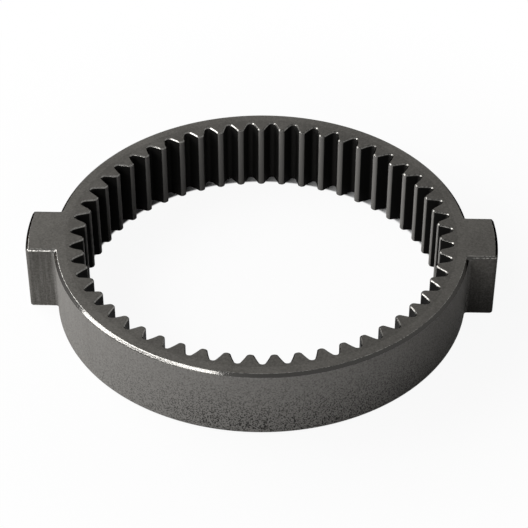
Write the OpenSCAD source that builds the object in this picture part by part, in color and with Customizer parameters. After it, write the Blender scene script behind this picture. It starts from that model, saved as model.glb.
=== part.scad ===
// Internal ring gear with two driving lugs, pressed and sintered in one piece.
// The gear's axis is Z, the lugs lie along X, and the part stands on the plane z = 0.
// A tooth points at the middle of the lug on +X.

/* [Teeth] */
// Number of internal teeth
teeth = 51; // [41:1:61]
// Module: the pitch diameter divided by the number of teeth
gear_module = 1.5; // [1.4:0.05:2]
// Pressure angle of the involute flanks, in degrees
pressure_angle = 25; // [23:0.5:27]
// Height of a tooth inside the pitch circle
addendum = 1.1; // [0.8:0.05:1.3]
// Depth of a gap outside the pitch circle
dedendum = 1.65; // [1.3:0.05:1.9]
// How much narrower a tooth is than half a pitch, along the pitch circle
backlash = 0.13; // [0:0.01:0.3]
// Radius of the rounded corners along the tooth tips
tip_round = 0.7; // [0.2:0.05:0.75]
// Leg of the broken edge at both ends of the tooth tips
tip_break = 0.35; // [0.2:0.05:0.6]

/* [Ring] */
// Height of the ring along its axis
ring_h = 15.4; // [8:0.1:30]
// Wall between the bottom of a gap and the outside of the ring
rim_w = 3.5; // [2.5:0.1:8]
// Leg of the chamfer on the top outer edge
chamfer = 0.6; // [0.3:0.05:1.2]
// Leg of the small break on the bottom outer edge
bottom_break = 0.35; // [0.2:0.05:0.8]

/* [Lugs] */
// How far each lug stands out from the ring
lug_out = 5.8; // [3:0.1:12]
// Width of a lug across its two flat sides
lug_w = 13.2; // [8:0.1:18]
// Radius of the upright outer corners of a lug
lug_corner_r = 0.8; // [0.5:0.1:2]
// Radius of the hollow fillet where a lug meets the ring
lug_fillet_r = 0.7; // [0.4:0.1:1.5]

/* [Hidden] */

$fn = 180;
steel_grey = [0.33, 0.32, 0.3];

// Straight steps along one involute flank, and round one corner of a tooth tip
flank_steps = 5;
tip_steps = 3;
// How far a cutter or a joining piece runs past the surface it meets
overrun = 0.5;
// Extra radius of a rounding circle, so that it crosses the sides it blends
blend = 0.01;

pitch_r = teeth * gear_module / 2;
base_r = pitch_r * cos(pressure_angle);
tip_r = pitch_r - addendum;
root_r = pitch_r + dedendum;
ring_r = root_r + rim_w;
lug_r = ring_r + lug_out;
tooth_step = 360 / teeth;

function degrees(radians) = radians * 180 / PI;
function polar(r, angle) = r * [cos(angle), sin(angle)];

// Involute function, with its angle and its result in degrees
function involute(angle) = degrees(tan(angle)) - angle;
// Pressure angle of the flank at a radius
function flank_angle(r) = acos(base_r / r);

// Half the angle that a gap spans, at the base circle and at any radius
gap_w = PI * gear_module / 2 + backlash;
base_half = degrees(gap_w / pitch_r / 2) + involute(pressure_angle);
function gap_half(r) = base_half - involute(flank_angle(r));

// Radius of the circle centred on a gap's middle line at radius r that touches both flanks
function touching_r(r) = base_r * gap_half(r) * PI / 180;
// Centre of the one that touches the root circle too, found by repeated steps
function root_centre(r, steps) = steps == 0 ? r : root_centre(root_r - touching_r(r), steps - 1);
root_c = root_centre(pitch_r, 24);
root_round = root_r - root_c;

// Centre of the tip's rounding: it lies one rounding radius inside both the tip circle and the flank
tip_c_r = tip_r + tip_round;
tip_c_angle = gap_half(tip_c_r) + degrees(tip_round / base_r);
tip_turn = 90 - flank_angle(tip_c_r);

// The flank runs from the tip's rounding to the root's rounding, and touches both
flank_start = norm(tip_point(0));
flank_end = base_r / cos(atan((base_half + flank_angle(root_c)) * PI / 180));

// Points of the gap's edge on the +Y side: round the tip's corner, then up the flank
function tip_point(share) =
    polar(tip_c_r, tip_c_angle) + polar(tip_round, tip_c_angle - 180 + tip_turn * (1 - share));
function flank_point(share) =
    let (r = flank_start + (flank_end - flank_start) * share) polar(r, gap_half(r));

// Plan of the gap between two teeth, lying along +X
module gap_plan() {
    edge = concat(
        [polar(tip_r - overrun, tip_c_angle)],
        [for (i = [tip_steps:-1:1]) tip_point(i / tip_steps)],
        [for (i = [0:flank_steps]) flank_point(i / flank_steps)]);
    other_edge = [for (i = [len(edge) - 1:-1:0]) [edge[i].x, -edge[i].y]];
    polygon(concat(edge, other_edge));
    translate([root_c, 0]) circle(r = root_round + blend);
}

// Everything that is open inside the ring: the bore and the gaps, with the tips' edges broken
module toothed_bore() {
    translate([0, 0, -overrun]) linear_extrude(ring_h + 2 * overrun) {
        circle(r = tip_r);
        for (i = [0:teeth - 1]) rotate((i + 0.5) * tooth_step) gap_plan();
    }
    cone_h = tip_break + overrun;
    translate([0, 0, -overrun]) cylinder(r1 = tip_r + cone_h, r2 = tip_r, h = cone_h);
    translate([0, 0, ring_h - tip_break]) cylinder(r1 = tip_r, r2 = tip_r + cone_h, h = cone_h);
}

// Solid disc of the ring's height, with its outer edges broken
module blank(r) {
    rotate_extrude() polygon([[0, 0], [r - bottom_break, 0], [r, bottom_break],
        [r, ring_h - chamfer], [r - chamfer, ring_h], [0, ring_h]]);
}

// Point at a height beside the X axis, on a circle round the gear's axis
function beside(circle_r, y) = [sqrt(circle_r * circle_r - y * y), y];

// What the rounding takes off a lug's outer corner on the +Y side
module corner_waste() {
    centre = beside(lug_r - lug_corner_r, lug_w / 2 - lug_corner_r);
    side_y = lug_w / 2 + overrun;
    end_r = lug_r + overrun;
    difference() {
        polygon([centre, [centre.x, side_y], [end_r, side_y], centre * end_r / norm(centre)]);
        translate(centre) circle(r = lug_corner_r + blend);
    }
}

// What the fillet adds between a lug and the ring on the +Y side
module fillet_fill() {
    centre = beside(ring_r + lug_fillet_r, lug_w / 2 + lug_fillet_r);
    side_y = lug_w / 2 - overrun;
    foot = centre * (ring_r - overrun) / norm(centre);
    difference() {
        polygon([centre, foot, [foot.x, side_y], [centre.x, side_y]]);
        translate(centre) circle(r = lug_fillet_r + blend);
    }
}

// Plan of the lug on +X, from the middle of the ring's wall outwards
module lug_plan() {
    difference() {
        translate([0, -lug_w / 2]) square([lug_r + overrun, lug_w]);
        circle(r = ring_r - rim_w / 2);
        for (side = [0, 1]) mirror([0, side]) corner_waste();
    }
    for (side = [0, 1]) mirror([0, side]) fillet_fill();
}

module ring_gear() {
    color(steel_grey) difference() {
        union() {
            blank(ring_r);
            intersection() {
                blank(lug_r);
                linear_extrude(ring_h) for (turn = [0, 180]) rotate(turn) lug_plan();
            }
        }
        toothed_bore();
    }
}

ring_gear();
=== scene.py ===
# %% [markdown]
# # An internal ring gear, pressed and sintered
# The part is one piece of steel: a ring with straight teeth on its inside and two square lugs on its
# outside. By its grain it was made of powder: pressed in a die, baked until the grains join, and tumbled to
# soften its edges. The packed solid has the sizes, so it is loaded first and read, never moved. The
# lesson draws the same shape again with softened edges, then adds a finish, a table, lamps and a camera.
# One photograph cannot tell a dark skin from a deep shadow, so where the finish changes from place to
# place, it is matched to the photograph's tones and may hold some of its light.

# %% Load the packed solid and read its size
import math

import bmesh
import bpy
import numpy as np
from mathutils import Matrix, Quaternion, Vector


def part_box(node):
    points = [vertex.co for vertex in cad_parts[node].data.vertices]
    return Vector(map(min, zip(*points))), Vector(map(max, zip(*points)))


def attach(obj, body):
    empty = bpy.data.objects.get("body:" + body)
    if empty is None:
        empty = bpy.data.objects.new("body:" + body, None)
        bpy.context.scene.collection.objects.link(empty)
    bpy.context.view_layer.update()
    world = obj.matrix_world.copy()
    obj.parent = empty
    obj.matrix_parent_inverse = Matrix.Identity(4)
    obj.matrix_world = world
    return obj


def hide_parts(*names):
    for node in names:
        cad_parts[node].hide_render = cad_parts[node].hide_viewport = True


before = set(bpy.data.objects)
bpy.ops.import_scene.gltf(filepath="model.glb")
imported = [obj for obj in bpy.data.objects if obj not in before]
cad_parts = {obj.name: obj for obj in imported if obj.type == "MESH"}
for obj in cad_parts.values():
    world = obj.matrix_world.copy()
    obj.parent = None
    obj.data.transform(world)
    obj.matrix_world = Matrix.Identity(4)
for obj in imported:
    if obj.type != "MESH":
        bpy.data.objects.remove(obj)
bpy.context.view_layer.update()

MM = 0.001
gear_low, gear_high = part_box("ring_gear")
ring_h = gear_high.z - gear_low.z
ring_r = (gear_high.y - gear_low.y) / 2
lug_r = (gear_high.x - gear_low.x) / 2
print(f"ring {2 * ring_r / MM:.1f} mm wide and {ring_h / MM:.1f} mm high")
print(f"span over the lugs {2 * lug_r / MM:.1f} mm")

# %% [markdown]
# ## The outline of a tooth gap
# A gear flank is an involute: the path of a string's end as the string is unwound from the base circle.
# The die was cut to that curve, so a formula is the honest way to draw it. The same formula also gives
# the outline a little deeper in the metal, because a longer string draws a parallel flank. That is used
# for the softened edges at both ends of the teeth.

# %% Sizes of the teeth, on the same values as the solid
TEETH = 51
GEAR_MODULE = 1.5 * MM
PRESSURE_ANGLE = math.radians(25)
ADDENDUM = 1.1 * MM
DEDENDUM = 1.65 * MM
BACKLASH = 0.13 * MM
TIP_ROUND = 0.7 * MM

pitch_r = TEETH * GEAR_MODULE / 2
base_r = pitch_r * math.cos(PRESSURE_ANGLE)
tip_r = pitch_r - ADDENDUM
root_r = pitch_r + DEDENDUM
tooth_step = 2 * math.pi / TEETH
gap_w = math.pi * GEAR_MODULE / 2 + BACKLASH
base_half = gap_w / pitch_r / 2 + math.tan(PRESSURE_ANGLE) - PRESSURE_ANGLE
print(f"tooth tips {tip_r / MM:.2f} mm and gap bottoms {root_r / MM:.2f} mm from the axis")

# %% [markdown]
# The bottom of a gap is one arc that touches both flanks and the root circle. No formula gives its centre,
# so it is found in steps: each try lays the arc against the root circle, and takes for its radius the
# room that the last try found between the flanks.

# %% The round bottom of a gap
ROOT_TRIES = 24


def flank_angle(r):
    """Pressure angle of the flank at a radius."""
    return math.acos(base_r / r)


def gap_half(r):
    """Half the angle that a gap spans at a radius."""
    return base_half - math.tan(flank_angle(r)) + flank_angle(r)


root_c = pitch_r
for _ in range(ROOT_TRIES):
    root_c = root_r - base_r * gap_half(root_c)
root_round = root_r - root_c
print(f"gap bottoms rounded by {root_round / MM:.2f} mm")

# %% One side of a gap, at any depth in the metal
ROOT_POINTS = 6
FLANK_POINTS = 6
TIP_POINTS = 5
LAND_POINTS = 2


def polar(r, angle):
    """Points at a radius and at one or more angles."""
    return np.stack([r * np.cos(angle), r * np.sin(angle)], -1)


def gap_side(depth):
    """From the middle of the gap's bottom, up the flank and round the tip, to the middle of the tooth."""
    bottom = np.linspace(0, math.pi / 2 - flank_angle(root_c), ROOT_POINTS, endpoint=False)
    root_arc = [root_c, 0] + polar(root_round + depth, bottom)

    centre_r = tip_r + depth + TIP_ROUND
    turned = base_half + (depth + TIP_ROUND) / base_r - math.tan(flank_angle(centre_r))
    rolled = np.linspace(-flank_angle(root_c), turned, FLANK_POINTS)
    string = base_r * (base_half - rolled) + depth
    flank = polar(base_r, rolled) + string[:, None] * polar(1, rolled + math.pi / 2)

    centre_angle = turned + flank_angle(centre_r)
    swing = np.linspace(turned - math.pi / 2, centre_angle - math.pi, TIP_POINTS)[1:]
    tip_arc = polar(centre_r, np.array(centre_angle)) + polar(TIP_ROUND, swing)

    land = polar(tip_r + depth, np.linspace(centre_angle, tooth_step / 2, LAND_POINTS + 1)[1:])
    return np.concatenate([root_arc, flank, tip_arc, land])


print(len(gap_side(0)), "points on one side of a gap")

# %% The whole toothed outline


def tooth_loop(depth):
    """All gaps in turn, counter-clockwise."""
    side = gap_side(depth)
    gap = np.concatenate([side[-2:0:-1] * [1, -1], side])
    turns = (np.arange(TEETH) + 0.5) * tooth_step
    spin = np.array([[np.cos(turns), -np.sin(turns)], [np.sin(turns), np.cos(turns)]])
    return np.einsum("ijt,pj->tpi", spin, gap).reshape(-1, 2)


print(len(tooth_loop(0)), "points round the teeth")

# %% [markdown]
# ## The outline of the ring and its lugs
# Seen from above, the outside is two long arcs, two square lugs with rounded corners and a small hollow
# fillet where each side of a lug runs into the ring. Near the top the ring and the ends of the lugs are
# turned to a chamfer, but the lugs' flat sides are not. A disc joined to two boxes would give the plain
# form and no such chamfer. So the outline is drawn anew at each height: the arcs shrink, the sides stay.

# %% Sizes of the lugs and the outline at one height
LUG_W = 13.2 * MM
LUG_CORNER_R = 0.8 * MM
LUG_FILLET_R = 0.7 * MM
ARC_POINTS = 150
END_POINTS = 18
CORNER_POINTS = 7
SIDE_POINTS = 6
FILLET_POINTS = 6


def lug_corner(end_r, half_w):
    """Round the outer corner of a lug, from its end at that radius to its flat side."""
    corner_y = half_w - LUG_CORNER_R
    corner_x = math.sqrt((lug_r - LUG_CORNER_R) ** 2 - (LUG_W / 2 - LUG_CORNER_R) ** 2)
    reach = math.hypot(corner_x, corner_y)
    meet = (end_r ** 2 - reach ** 2 - LUG_CORNER_R ** 2) / (2 * LUG_CORNER_R * reach)
    start_angle = math.atan2(corner_y, corner_x) + math.acos(min(1, max(-1, meet)))
    return [corner_x, corner_y] + polar(LUG_CORNER_R, np.linspace(start_angle, math.pi / 2, CORNER_POINTS))


def outer_loop(inset, side_inset):
    """The outside, with its arcs drawn in by inset and the lugs' flat sides by side_inset."""
    half_w = LUG_W / 2 - side_inset
    end_r = lug_r - inset
    corner = lug_corner(end_r, half_w)
    end_half = math.atan2(corner[0, 1], corner[0, 0])
    end = polar(end_r, np.linspace(-end_half, end_half, END_POINTS)[1:-1])

    fillet_r = ring_r - inset + LUG_FILLET_R
    fillet_y = half_w + LUG_FILLET_R
    fillet_c = np.array([math.sqrt(fillet_r ** 2 - fillet_y ** 2), fillet_y])
    fillet_angle = math.atan2(fillet_c[1], fillet_c[0])
    swing = np.linspace(3 * math.pi / 2, fillet_angle + math.pi, FILLET_POINTS)
    fillet = fillet_c + polar(LUG_FILLET_R, swing)
    side = np.linspace(corner[-1], fillet[0], SIDE_POINTS)[1:-1]

    flank = np.concatenate([corner, side, fillet])
    arc = polar(ring_r - inset, np.linspace(fillet_angle, math.pi - fillet_angle, ARC_POINTS)[1:-1])
    half = np.concatenate([end, flank, arc, flank[::-1] * [-1, 1]])
    return np.concatenate([half, -half])


print(len(outer_loop(0, 0)), "points round the outside")

# %% [markdown]
# ## Softened edges
# Tumbling leaves no sharp edge. The eye reads this at once, because a rounded edge always finds some lamp
# to shine back. Each edge is a short slope between two small arcs, given as pairs of numbers: how far it
# has come in from the wall, and how far it still lies below the face. A Bevel modifier could do it too,
# but not with a different slope on the arcs and on the lugs' sides.

# %% The profile of a softened edge
CHAMFER = 0.6 * MM
CHAMFER_EDGE = 0.12 * MM
BOTTOM_BREAK = 0.28 * MM
BOTTOM_EDGE = 0.2 * MM
TOOTH_BREAK = 0.28 * MM
TOOTH_EDGE = 0.18 * MM
SIDE_EDGE = 0.55 * MM
EDGE_STEPS = 5
SLOPE_STEPS = 5


def soft_edge(leg, edge_r):
    """Pairs of (inset, drop) from the wall to the face, for a 45 degree slope with rounded ends."""
    tangent = edge_r * math.tan(math.pi / 8)
    low = np.linspace(0, math.pi / 4, EDGE_STEPS)
    high = np.linspace(math.pi / 4, math.pi / 2, EDGE_STEPS)
    lower = [edge_r, leg + tangent] - polar(edge_r, low)
    upper = [leg + tangent, edge_r] - polar(edge_r, high)
    slope = np.linspace(lower[-1], upper[0], SLOPE_STEPS + 1)[1:-1]
    return np.concatenate([lower, slope, upper])


def deepen(profile, drop):
    """The profile with steps straight down the wall before it, from a given drop below the face."""
    drops = np.linspace(drop, profile[0, 1], EDGE_STEPS, endpoint=False)
    return np.concatenate([np.stack([np.zeros(EDGE_STEPS), drops], -1), profile])


def round_inset(edge_r, drop):
    """How far a plain rounded edge has come in from the wall, at a drop below the face."""
    below = max(0.0, edge_r - drop)
    return edge_r - math.sqrt(edge_r ** 2 - below ** 2)


chamfer = soft_edge(CHAMFER, CHAMFER_EDGE)
bottom_break = deepen(soft_edge(BOTTOM_BREAK, BOTTOM_EDGE), SIDE_EDGE)
tooth_break = soft_edge(TOOTH_BREAK, TOOTH_EDGE)
print(f"the chamfer takes {chamfer[-1, 0] / MM:.2f} mm of the face")
print(f"a tooth's edge takes {tooth_break[-1, 0] / MM:.2f} mm")

# %% [markdown]
# ## Wear on the edges
# Tumbling and handling rub the skin off the steel where it turns. Blender could guess such places from the
# mesh, but here each edge is known, so each point simply keeps how strongly it is rubbed, from 0 to 1.
# The finish reads that number later on.

# %% How strongly each edge is rubbed
TOOTH_RUB = (0.35, 0.62, 0.35)
CHAMFER_RUB = (0.4, 0.45, 0.85)
RIGHT_RUB = 0.7
ENDS_AND_MIDDLE = (0, 0.5, 1)


def turn_rub(low_turn, slope, high_turn):
    """Wear along a profile: none at its ends, given shares where it turns and on the slope between."""
    share = np.linspace(0, 1, EDGE_STEPS)
    low = np.interp(share, ENDS_AND_MIDDLE, (0, low_turn, slope))
    high = np.interp(share, ENDS_AND_MIDDLE, (slope, high_turn, 0))
    return np.concatenate([low, np.full(SLOPE_STEPS - 1, slope), high])


def side_rub(drop):
    """Wear on the rounded edge of a lug's flat side, at a drop below the face."""
    return math.sin(math.pi * min(1.0, drop / SIDE_EDGE))


def on_lug_side(outline):
    """True for the points on the lugs' flat sides."""
    reach = np.hypot(outline[:, 0], outline[:, 1])
    return (reach > ring_r + LUG_FILLET_R) & (np.abs(outline[:, 1]) > LUG_W / 2 - LUG_CORNER_R / 2)


print("wear up the chamfer:", np.round(turn_rub(*CHAMFER_RUB), 2))

# %% [markdown]
# ## One closed skin
# The outlines are stacked like the hoops of a barrel: inside from bottom to top, outside from bottom to
# top, and strips of four-sided faces between neighbours. The flat top and bottom join the last inner hoop
# to the last outer one. Cutting the gaps out of a block would give the same form, but with torn, uneven
# faces along the edges, and those shade badly.

# %% Stack the hoops
bm = bmesh.new()
wear = bm.verts.layers.float.new("edge_wear")


def hoop(outline, height, rubs):
    """A ring of points at one height, with one wear for all of them or one for each."""
    points = [bm.verts.new((x, y, height)) for x, y in outline]
    for point, rub in zip(points, np.broadcast_to(rubs, len(points))):
        point[wear] = rub
    return points


def inner_hoops():
    """Hoops round the teeth, from the bottom to the top."""
    rows = list(zip(tooth_break, turn_rub(*TOOTH_RUB)))
    places = [(inset, drop, rub) for (inset, drop), rub in reversed(rows)]
    places += [(inset, ring_h - drop, rub) for (inset, drop), rub in rows]
    return [hoop(tooth_loop(inset), height, rub) for inset, height, rub in places]


def outer_hoops():
    """Hoops round the outside, from the bottom to the top."""
    rubs = turn_rub(*CHAMFER_RUB)
    low_rubs = np.concatenate([np.zeros(EDGE_STEPS), rubs])
    places = [(inset, drop, drop, rub) for (inset, drop), rub in list(zip(bottom_break, low_rubs))[::-1]]
    places += [(inset, drop, ring_h - drop, rub) for (inset, drop), rub in zip(chamfer, rubs)]
    hoops = []
    for inset, drop, height, rub in places:
        outline = outer_loop(inset, round_inset(SIDE_EDGE, drop))
        side_rubs = side_rub(drop) * np.where(outline[:, 0] > 0, RIGHT_RUB, 1.0)
        hoops.append(hoop(outline, height, np.where(on_lug_side(outline), side_rubs, rub)))
    return hoops


inner = inner_hoops()
outer = outer_hoops()
print(len(inner), "hoops inside and", len(outer), "outside")

# %% Draw the skin over the hoops


def skin(hoops):
    """Four-sided faces between each hoop and the next."""
    for lower, upper in zip(hoops, hoops[1:]):
        for i, point in enumerate(lower):
            bm.faces.new((lower[i - 1], point, upper[i], upper[i - 1]))


def close_face(inner_edge, outer_edge):
    """The flat face between two hoops."""
    rings = (inner_edge, outer_edge)
    edges = [bm.edges.get((ring[i - 1], ring[i])) for ring in rings for i in range(len(ring))]
    bmesh.ops.triangle_fill(bm, use_beauty=True, use_dissolve=False, edges=edges)


skin(inner)
skin(outer)
close_face(inner[-1], outer[-1])
close_face(inner[0], outer[0])
bmesh.ops.recalc_face_normals(bm, faces=bm.faces)
print(len(bm.faces), "faces,", sum(not edge.is_manifold for edge in bm.edges), "open edges")

# %% Turn the skin into an object in the solid's place
mesh = bpy.data.meshes.new("ring_gear_steel")
bm.to_mesh(mesh)
bm.free()
mesh.shade_smooth()
gear = bpy.data.objects.new("ring_gear_steel", mesh)
bpy.context.scene.collection.objects.link(gear)
gear.location.z = gear_low.z
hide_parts("ring_gear")
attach(gear, "root")
print(gear.name, "takes the place of the solid")

# %% [markdown]
# Smooth shading alone would bend the light on the flat faces near their rounded edges. The Weighted
# Normal modifier lets the large faces decide, so flats stay flat and only the edges roll over.

# %% Let the large faces decide the shading
NEUTRAL_WEIGHT = 50

weighted = gear.modifiers.new("flat faces stay flat", "WEIGHTED_NORMAL")
weighted.mode = "FACE_AREA"
weighted.weight = NEUTRAL_WEIGHT
print("shading by", weighted.mode)

# %% [markdown]
# ## Writing a finish as sums
# A material is a net of small nodes. Wiring each by hand hides the idea, so one class wraps a socket and
# turns plain sums on it into Math nodes. Every other node comes from its one method, which sets the
# node's choices first and then its sockets.

# %% A socket that can be added and multiplied


class Signal:
    """One output of a node tree. Sums and products of it add Math nodes."""

    def __init__(self, tree, socket=None):
        self.tree = tree
        self.socket = socket

    def node(self, kind, settings=None, sockets=None, output=0):
        """Adds a node with its settings and its socket values or links, and gives one output."""
        made = self.tree.nodes.new(kind)
        for name, value in (settings or {}).items():
            setattr(made, name, value)
        for name, value in (sockets or {}).items():
            if isinstance(value, Signal):
                self.tree.links.new(value.socket, made.inputs[name])
            else:
                made.inputs[name].default_value = value
        return Signal(self.tree, made.outputs[output]) if len(made.outputs) else None

    def math(self, operation, a, b=0.0):
        """One Math node."""
        return self.node("ShaderNodeMath", {"operation": operation}, {0: a, 1: b})

    def __add__(self, other):
        return self.math("ADD", self, other)

    def __radd__(self, other):
        return self.math("ADD", other, self)

    def __sub__(self, other):
        return self.math("SUBTRACT", self, other)

    def __rsub__(self, other):
        return self.math("SUBTRACT", other, self)

    def __mul__(self, other):
        return self.math("MULTIPLY", self, other)

    def __rmul__(self, other):
        return self.math("MULTIPLY", other, self)

    def __abs__(self):
        return self.math("ABSOLUTE", self)

    def vector(self, operation, other, output=0):
        """One Vector Math node, with this as its first vector."""
        return self.node("ShaderNodeVectorMath", {"operation": operation}, {0: self, 1: other}, output)

    def length(self):
        """Length of this vector."""
        return self.vector("LENGTH", (0, 0, 0), "Value")

    def axis(self, name):
        """One coordinate of this vector."""
        return self.node("ShaderNodeSeparateXYZ", None, {0: self}, name)

    def ease(self, low, high):
        """0 below low, 1 above high, and a smooth rise between them."""
        return self.node("ShaderNodeMapRange", {"interpolation_type": "SMOOTHSTEP"},
                         {"Value": self, "From Min": low, "From Max": high})

    def blend(self, colour_a, colour_b):
        """Colour a where this is 0, colour b where it is 1."""
        return self.node("ShaderNodeMix", {"data_type": "RGBA"}, {0: self, 6: colour_a, 7: colour_b}, 2)

    def mix_shader(self, shader_a, shader_b):
        """Shader a where this is 0, shader b where it is 1."""
        return self.node("ShaderNodeMixShader", None, {0: self, 1: shader_a, 2: shader_b})


def empty_tree(owner):
    """Gives a material or a world an empty node tree, as a signal to start from."""
    owner.use_nodes = True
    owner.node_tree.nodes.clear()
    return Signal(owner.node_tree)


print("methods of a signal:", [name for name in vars(Signal) if not name.startswith("_")])

# %% [markdown]
# ## Where a point lies on the gear
# The finish changes with the distance from the axis, with the height and from left to right, so these are
# worked out once from the object's own coordinates, in metres. A picture on an unwrapped skin could hold
# the same, but it would show seams, and a sum is easier to read and to change.

# %% Start the finish and find a point's place
steel = bpy.data.materials.new("sintered_steel")
start = empty_tree(steel)
place = start.node("ShaderNodeTexCoord", output="Object")
x_place = place.axis("X")
radius = place.vector("MULTIPLY", (1, 1, 0)).length()
depth_share = 1 - place.axis("Z") * (1 / ring_h)
flatness = abs(start.node("ShaderNodeTexCoord", output="Normal").axis("Z"))
rubbed = start.node("ShaderNodeAttribute", {"attribute_name": "edge_wear"}, None, "Fac")
print(len(steel.node_tree.nodes), "nodes tell where a point lies")

# %% [markdown]
# ## Masks for the wall and the teeth
# A mask is a number at each point: 1 where a finish belongs, 0 elsewhere, and a soft step between. The
# outer wall slid along the die and the teeth slid along its core, so both look unlike the faces that the
# punches pressed. Walls are told from faces by how far their normal lies over, and the rest by place.
# Masks could also be painted on the mesh by hand, but sums stay true when a size changes.

# %% Where the outer wall and the lugs are
WALL_TILT = (0.2, 0.5)
OUTER_SKIN = (ring_r - 0.6 * MM, ring_r - 0.3 * MM)
LOW_PART = (0.05, 1.0)
FOOT_PART = (0.1, 1.0)
LUG_START = (ring_r + 0.2 * MM, ring_r + 0.8 * MM)
MIDDLE_LINE = (-5 * MM, 5 * MM)
PITS_BEGIN = (-35 * MM, -5 * MM)
PITS_THIN_OUT = (15 * MM, 40 * MM)
PITS_LOST = 0.6

on_wall = 1 - flatness.ease(*WALL_TILT)
die_wall = on_wall * radius.ease(*OUTER_SKIN)
low_wall = depth_share.ease(*LOW_PART) * die_wall
on_lug = radius.ease(*LUG_START)
left_lug = on_lug * (1 - x_place.ease(*MIDDLE_LINE))
# Painted shade: marks the foot of the right lug, to be darkened as if in shadow.
right_foot_shade = (on_lug - left_lug) * depth_share.ease(*FOOT_PART) * die_wall
pitted_side = x_place.ease(*PITS_BEGIN) * (1 - PITS_LOST * x_place.ease(*PITS_THIN_OUT))
print(f"lugs start {LUG_START[0] / MM:.1f} mm from the axis")

# %% Where the tooth tips and the gaps are
TOOTH_TILT = (0.35, 0.75)
TIP_END = (tip_r + 0.12 * MM, tip_r + 0.26 * MM)
GAP_BOTTOM = (root_r - 0.5 * MM, root_r)
GAP_END = (root_r + 0.5 * MM, root_r + 1.0 * MM)

steep = 1 - flatness.ease(*TOOTH_TILT)
past_tip = radius.ease(*TIP_END)
on_land = (1 - past_tip) * steep
# Painted shade: this mask darkens the gaps in colour, where their own shadow falls.
gap_shade_mask = past_tip * (1 - radius.ease(*GAP_END)) * steep
gap_bottom_shade_mask = radius.ease(*GAP_BOTTOM)
print(f"gaps lie between {TIP_END[0] / MM:.1f} and {GAP_END[1] / MM:.1f} mm")

# %% [markdown]
# ## Grain of the powder
# Pressed powder keeps fine specks and small open pores. The walls add upright streaks from the die, and
# uneven heat leaves faint clouds. Noise that is worked out in the object's own space has no seam and does
# not repeat, as a tiled picture of steel would.

# %% Four kinds of noise
PORE_EDGE = (0.38, 0.52)
NOISE_MIDDLE = 0.5


def grain(size, detail, stretch=(1, 1, 1), roughness=0.5):
    """Soft random spots of about the given size in metres."""
    return start.node("ShaderNodeTexNoise", None, {
        "Vector": place.vector("MULTIPLY", stretch), "Scale": 1 / size, "Detail": detail,
        "Roughness": roughness}, "Fac")


clouds = grain(size=9 * MM, detail=3)
fine = grain(size=0.4 * MM, detail=3, roughness=0.65)
pores = 1 - grain(size=0.3 * MM, detail=2).ease(*PORE_EDGE)
streaks = grain(size=0.6 * MM, detail=3, stretch=(1, 1, 0.05))
cloud_swing = clouds - NOISE_MIDDLE
fine_swing = fine - NOISE_MIDDLE
streak_swing = streaks - NOISE_MIDDLE
print(len(steel.node_tree.nodes), "nodes with the grain")

# %% [markdown]
# ## Oxide on the pressed faces
# Baking leaves a thin oxide skin: matt, dark grey and a little warm. It is not metal to the eye, so it is
# a plain dark colour that the grain makes lighter or darker. The faces carry a faint ring, perhaps where
# an inner and an outer punch met, and the zone inside it is a shade darker.

# %% Colour of the faces
DARK_OXIDE = (0.075, 0.0715, 0.0655, 1)
PALE_OXIDE = (0.134, 0.128, 0.1175, 1)
PUNCH_RING_R = 40.9 * MM
PUNCH_RING_W = 0.15 * MM
CLOUD_SHARE = 0.5
INNER_DARKER = 0.12
TONE_STEP = (0.4, 1.05)

inner_zone = 1 - radius.ease(PUNCH_RING_R - PUNCH_RING_W, PUNCH_RING_R + PUNCH_RING_W)
from_ring = radius - PUNCH_RING_R
punch_ring = (1 - (from_ring * from_ring).ease(0, PUNCH_RING_W ** 2)) * (1 - on_wall)
tone = CLOUD_SHARE * clouds + fine - INNER_DARKER * inner_zone
face = tone.ease(*TONE_STEP).blend(DARK_OXIDE, PALE_OXIDE)
print(f"faint ring {PUNCH_RING_R / MM:.1f} mm from the axis")

# %% [markdown]
# ## Marks of the die on the wall
# A ring that is pushed out of a die rubs along it and keeps upright streaks. The wall has a coarse grit
# that grows towards the foot, and the lugs are darker. The foot of the right lug is darker still, which is
# painted shade where the gear's own shadow falls. The wall is one share between two oxides, so that the
# marks add up instead of covering each other.

# %% Colour of the wall
WALL_OXIDE = (0.21, 0.2028, 0.1922, 1)
# Painted shade: near black for the deep gaps and for the foot of the right lug.
GAP_SHADE_BLACK = (0.010, 0.0098, 0.0093, 1)
RUBBED_PALE = 0.82
PITTED_PALER = 0.12
LUG_DARKER = 0.75
STREAK_SHARE = 0.5
LEFT_LUG_STREAKS = 2
GRIT = 1.2
PITTED_GRIT = 1.8
LOW_GRIT = 2.6
LUG_SMOOTHER = 0.7
FOOT_SHADE = 0.6

grit = (GRIT + PITTED_GRIT * pitted_side + LOW_GRIT * pitted_side * low_wall) * (1 - LUG_SMOOTHER * on_lug)
drawn = RUBBED_PALE + PITTED_PALER * pitted_side - LUG_DARKER * on_lug
drawn = drawn + (STREAK_SHARE + LEFT_LUG_STREAKS * left_lug) * streak_swing + grit * fine_swing
wall = (drawn * die_wall).blend(face, WALL_OXIDE)
# Painted shade: the foot of the right lug is darkened towards the near black of the gaps.
body = (FOOT_SHADE * right_foot_shade).blend(wall, GAP_SHADE_BLACK)
print(f"the wall is {WALL_OXIDE[0] / PALE_OXIDE[0]:.1f} times as pale as the palest grain of the faces")

# %% [markdown]
# The pores are small black holes. They are few on the faces and on the left of the wall, and many at the
# foot of the front, where their dark spots also darken the foot as a whole: in part painted shade. Real
# holes would need millions of faces. At this size a dark spot with a dent in the bump looks much the same.

# %% Pores over the faces and the wall
PORE_BLACK = (0.027, 0.0263, 0.0255, 1)
PORES_EVERYWHERE = 0.12
PORES_ON_WALL = 0.1
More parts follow.
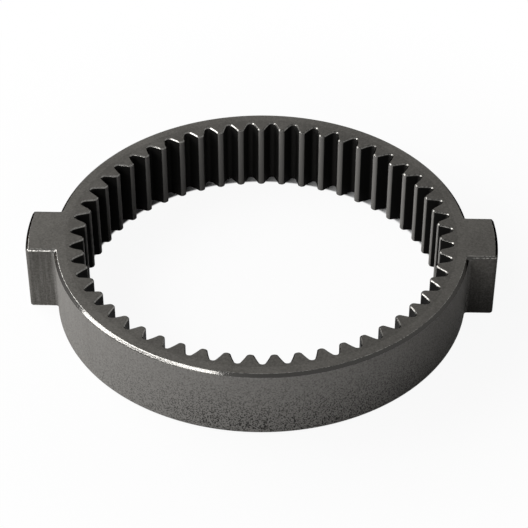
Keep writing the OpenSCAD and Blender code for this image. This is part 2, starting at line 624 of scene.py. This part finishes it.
# The many pores at the foot are real grain, and their dark spots also darken the foot: in part painted
# shade.
PORES_AND_SHADE_AT_FOOT = 0.8
PORES_ON_SMOOTH_SIDE = 0.25

side_share = PORES_ON_SMOOTH_SIDE + (1 - PORES_ON_SMOOTH_SIDE) * pitted_side
wall_pores = (PORES_ON_WALL + PORES_AND_SHADE_AT_FOOT * low_wall) * side_share * die_wall
pitted = ((PORES_EVERYWHERE + wall_pores) * pores).blend(body, PORE_BLACK)
print(len(steel.node_tree.nodes), "nodes with the pores")

# %% [markdown]
# ## Tooth tips and gaps
# The narrow tip faces are paler than the faces. The gaps are painted nearly black, a little lighter along
# their round bottoms: this is painted shade of the deep gaps, and it stays under other light too. A
# material for each would end at the borders of faces, with a hard line. Masks let one finish run softly
# into the next.

# %% Colour of the teeth
LAND_OXIDE = (0.22, 0.213, 0.203, 1)
# Painted shade: the round bottoms of the gaps, a little lighter than the black.
GAP_BOTTOM_SHADE = (0.026, 0.0252, 0.024, 1)

oxide = gap_shade_mask.blend(on_land.blend(pitted, LAND_OXIDE), gap_bottom_shade_mask.blend(GAP_SHADE_BLACK, GAP_BOTTOM_SHADE))
print(f"tip faces are {LAND_OXIDE[0] / GAP_SHADE_BLACK[0]:.0f} times as pale as the gaps")

# %% [markdown]
# ## Rubbed edges
# Where the skin is worn through, metal shows. Most of it is burnished: nearly black by itself, but it
# mirrors a lamp as a sharp line. The most worn grains are bare and bright. On the left the burnished metal
# is paler, a painted highlight that makes the edges shine more on the side of the lamps. A gear that is
# metal all over would mirror the lamps on its flat faces too, so the wear of each point decides between
# oxide and metal.

# %% Colour of the metal
BURNISHED = (0.048, 0.0465, 0.044, 1)
# Painted highlight: paler burnished metal, used on the left.
HIGHLIGHT_METAL = (0.1, 0.097, 0.092, 1)
BARE_STEEL = (0.6, 0.585, 0.55, 1)
METAL_WEAR = (0.1, 0.45)
BARE_WEAR = (0.5, 0.95)
BARE_GRAIN = (0.4, 0.58)
HIGHLIGHT_SIDE_END = (-18 * MM, 4 * MM)

metal_share = rubbed.ease(*METAL_WEAR)
bare = rubbed.ease(*BARE_WEAR) * fine.ease(*BARE_GRAIN)
# Painted highlight: 1 on the left, where the burnished metal is made paler.
left_painted_highlight = 1 - x_place.ease(*HIGHLIGHT_SIDE_END)
metal = bare.blend(left_painted_highlight.blend(BURNISHED, HIGHLIGHT_METAL), BARE_STEEL)
colour = metal_share.blend(oxide, metal)
print(len(steel.node_tree.nodes), "nodes with all colours")

# %% [markdown]
# ## Gloss and relief
# Worn metal is smooth, oxide is satin, and the wall that rubbed along the die is rougher still. A bump too
# small to change the outline stands for grain, pores, streaks and the punches' ring. The oxide hardly
# shines, and a dark tint at grazing angles keeps the far edges black.

# %% Roughness and bump
ROUGHNESS = 0.5
FINE_ROUGHNESS = 0.16
CLOUD_ROUGHNESS = 0.08
METAL_SMOOTHER = 0.4
WALL_ROUGHER = 0.2
BUMP_STRENGTH = 0.35
BUMP_DEPTH = 0.02 * MM
FINE_HEIGHT = 0.6
PORE_DEPTH = 0.3
FOOT_PORE_DEPTH = 1.6
STREAK_HEIGHT = 0.4
RING_DEPTH = 0.6

satin = ROUGHNESS + FINE_ROUGHNESS * fine_swing + CLOUD_ROUGHNESS * cloud_swing
gloss = satin - METAL_SMOOTHER * metal_share + WALL_ROUGHER * die_wall * (1 - metal_share)
height = FINE_HEIGHT * fine - (PORE_DEPTH + FOOT_PORE_DEPTH * low_wall) * pores
height = height + STREAK_HEIGHT * streaks * on_wall - RING_DEPTH * punch_ring
relief = start.node("ShaderNodeBump", None,
                    {"Strength": BUMP_STRENGTH, "Distance": BUMP_DEPTH, "Height": height})
print(f"bump of {BUMP_DEPTH / MM:.2f} mm")

# %% Put the finish on the gear
OXIDE_SHINE = 0.03
GRAZING_TINT = (0.15, 0.15, 0.15, 1)

shader = start.node("ShaderNodeBsdfPrincipled", None, {
    "Base Color": colour, "Metallic": metal_share, "Roughness": gloss, "Normal": relief,
    "Specular IOR Level": OXIDE_SHINE, "Specular Tint": GRAZING_TINT})
start.node("ShaderNodeOutputMaterial", None, {"Surface": shader})
gear.data.materials.append(steel)
print(len(steel.node_tree.nodes), "nodes in the steel")

# %% [markdown]
# ## The table it stands on
# The ground of the picture is white, with only a breath of shadow. A white sheet under strong lamps would
# do that, but it would also throw so much light back that the gaps and the foot of the wall turned grey.
# So the sheet answers each kind of ray in its own way. What the eye and mirror reflections meet is white,
# except where the gear stands on it.

# %% Lay the sheet, white to the eye
FLOOR_SIZE = 6.0
FLOOR_GAP = 0.02 * MM
WHITE = (1, 1, 1, 1)
PAPER_WHITE = (0.75, 0.75, 0.75, 1)
NEAR_WHITE = 0.93
ALL_WHITE = (0.05, 0.12)
FOOTPRINT_START = (tip_r + 0.9 * MM, tip_r + 1.5 * MM)
FOOTPRINT_END = (ring_r - 1 * MM, ring_r)

bpy.ops.mesh.primitive_plane_add(size=FLOOR_SIZE, location=(0, 0, gear_low.z - FLOOR_GAP))
floor = bpy.context.object
floor.name = "floor"
paper = bpy.data.materials.new("white_paper")
sheet = empty_tree(paper)
spot = sheet.node("ShaderNodeTexCoord", output="Object")
away = spot.length()
under_gear = away.ease(*FOOTPRINT_START) * (1 - away.ease(*FOOTPRINT_END))
whiteness = (NEAR_WHITE + (1 - NEAR_WHITE) * away.ease(*ALL_WHITE)) * (1 - under_gear)
shadowed = sheet.node("ShaderNodeBsdfDiffuse", None, {"Color": PAPER_WHITE})
white = sheet.node("ShaderNodeEmission", None, {"Color": WHITE, "Strength": 1.0})
seen_floor = whiteness.mix_shader(shadowed, white)
print(f"sheet of {FLOOR_SIZE:.0f} m, pure white from {ALL_WHITE[1] / MM:.0f} mm on")

# %% [markdown]
# Light on its way from one surface to another meets a second answer, which no real sheet would give: dark
# beside and inside the ring, most of all to the back right, and pale further out. It acts like black cards
# laid round the gear, and was chosen because it keeps the gaps and the foot of the wall dark. From below
# the sheet is clear, so that the gear's underside can be looked at too.

# %% Light that the sheet throws back
SHADE_GREY = (0.03, 0.03, 0.03, 1)
OPEN_GREY = (0.8, 0.8, 0.8, 1)
SHADE_MIDDLE = (14 * MM, 12 * MM, 0)
SHADE_END = (ring_r + 2 * MM, ring_r + 15 * MM)
RING_INSIDE = (ring_r - 2 * MM, ring_r)


def sees_white(tree_start):
    """1 for rays that show the ground: from the camera, in reflections and through glass."""
    seen = [tree_start.node("ShaderNodeLightPath", output=name)
            for name in ("Is Camera Ray", "Is Glossy Ray", "Is Transmission Ray")]
    return (seen[0] + seen[1] + seen[2]).ease(0, 1)


from_shade = spot.vector("SUBTRACT", SHADE_MIDDLE).length()
open_floor = from_shade.ease(*SHADE_END) * away.ease(*RING_INSIDE)
dark_floor = sheet.node("ShaderNodeBsdfDiffuse", None, {"Color": SHADE_GREY})
pale_floor = sheet.node("ShaderNodeBsdfDiffuse", None, {"Color": OPEN_GREY})
lit_floor = open_floor.mix_shader(dark_floor, pale_floor)
ground = sees_white(sheet).mix_shader(lit_floor, seen_floor)
underneath = sheet.node("ShaderNodeNewGeometry", output="Backfacing")
one_sided = underneath.mix_shader(ground, sheet.node("ShaderNodeBsdfTransparent"))
sheet.node("ShaderNodeOutputMaterial", None, {"Surface": one_sided})
floor.data.materials.append(paper)
print(len(paper.node_tree.nodes), "nodes in the sheet")

# %% [markdown]
# ## The room
# The white of the sheet goes on to the horizon, so the room is white for the same rays. As a lamp it is
# dim: light from all sides would wash out the shadows between the teeth.

# %% A white room that gives little light
ROOM_LIGHT = 0.035

world = bpy.data.worlds.new("studio")
bpy.context.scene.world = world
sky = empty_tree(world)
dim = sky.node("ShaderNodeBackground", None, {"Color": WHITE, "Strength": ROOM_LIGHT})
bright = sky.node("ShaderNodeBackground", None, {"Color": WHITE, "Strength": 1.0})
sky.node("ShaderNodeOutputWorld", None, {"Surface": sees_white(sky).mix_shader(dim, bright)})
print("room light", ROOM_LIGHT)

# %% [markdown]
# ## Lamps
# A broad softbox on the left shows the form, and a second one in front opens up the wall. Metal is lit by
# what it mirrors, so two narrow strips stand where the eye finds their mirror images: one draws the white
# line on the front left of the chamfer, the other the bright edges of the teeth at the back left. Their
# places were worked out from the slope of those edges and the place of the camera.

# %% A rectangular lamp that faces the gear


def toward(azimuth, elevation, distance):
    """A point seen from the gear in that direction; azimuth 0 is +X and 90 is +Y, in degrees."""
    a = math.radians(azimuth)
    e = math.radians(elevation)
    flat = math.cos(e)
    return Vector((flat * math.cos(a), flat * math.sin(a), math.sin(e))) * distance


def lamp(name, position, size, radiance, tilt=0):
    """A lamp of that size in metres, with its long side turned by the tilt in degrees."""
    light = bpy.data.lights.new(name, "AREA")
    light.shape = "RECTANGLE"
    light.size, light.size_y = size
    light.energy = radiance * math.pi * size[0] * size[1]
    box = bpy.data.objects.new(name, light)
    box.location = position
    facing = (-position).to_track_quat("-Z", "Y") @ Quaternion((0, 0, 1), math.radians(tilt))
    box.rotation_euler = facing.to_euler()
    box.visible_camera = False
    bpy.context.scene.collection.objects.link(box)
    print(f"{name}: {light.energy:.2f} W")


print("one metre toward +Y:", [round(part, 3) for part in toward(azimuth=90, elevation=0, distance=1)])

# %% Two softboxes and two strips
lamp("softbox_left", toward(azimuth=152, elevation=40, distance=0.45),
     size=(0.4, 0.2), radiance=6.9, tilt=23)
lamp("softbox_front", toward(azimuth=256, elevation=12, distance=0.55),
     size=(0.4, 0.3), radiance=2.0)
lamp("strip_chamfer", toward(azimuth=206, elevation=36.8, distance=0.5),
     size=(0.64, 0.03), radiance=20.0, tilt=23)
lamp("strip_teeth", toward(azimuth=180.2, elevation=36.6, distance=0.5),
     size=(0.36, 0.035), radiance=12.0, tilt=28.6)

# %% [markdown]
# ## Camera
# The camera looks down by about 40 degrees through a long lens. Its place could be found by eye, but the
# ring's edges are circles, and the ellipses that they make in the photograph give it by a fit.

# %% Set up the camera
CAMERA_DISTANCE = 0.40294
CAMERA_ELEVATION = 40.4644
CAMERA_AZIMUTH = -88.39
AIM = Vector((0.000467, 0, 0.007188))
LENS_MM = 128.24
SENSOR_MM = 36
NEAREST_SEEN = 0.01

view_lens = bpy.data.cameras.new("camera")
view_lens.lens = LENS_MM
view_lens.sensor_width = SENSOR_MM
view_lens.clip_start = NEAREST_SEEN
camera = bpy.data.objects.new("camera", view_lens)
camera.location = toward(CAMERA_AZIMUTH, CAMERA_ELEVATION, CAMERA_DISTANCE)
camera.rotation_euler = (AIM - camera.location).to_track_quat("-Z", "Y").to_euler()
bpy.context.scene.collection.objects.link(camera)
bpy.context.scene.camera = camera
bpy.context.scene.view_settings.view_transform = "Standard"
print("camera at", [round(part, 3) for part in camera.location])

# %% [markdown]
# ## Sizes at the end
# The drawn gear has to fill the same box as the packed solid.
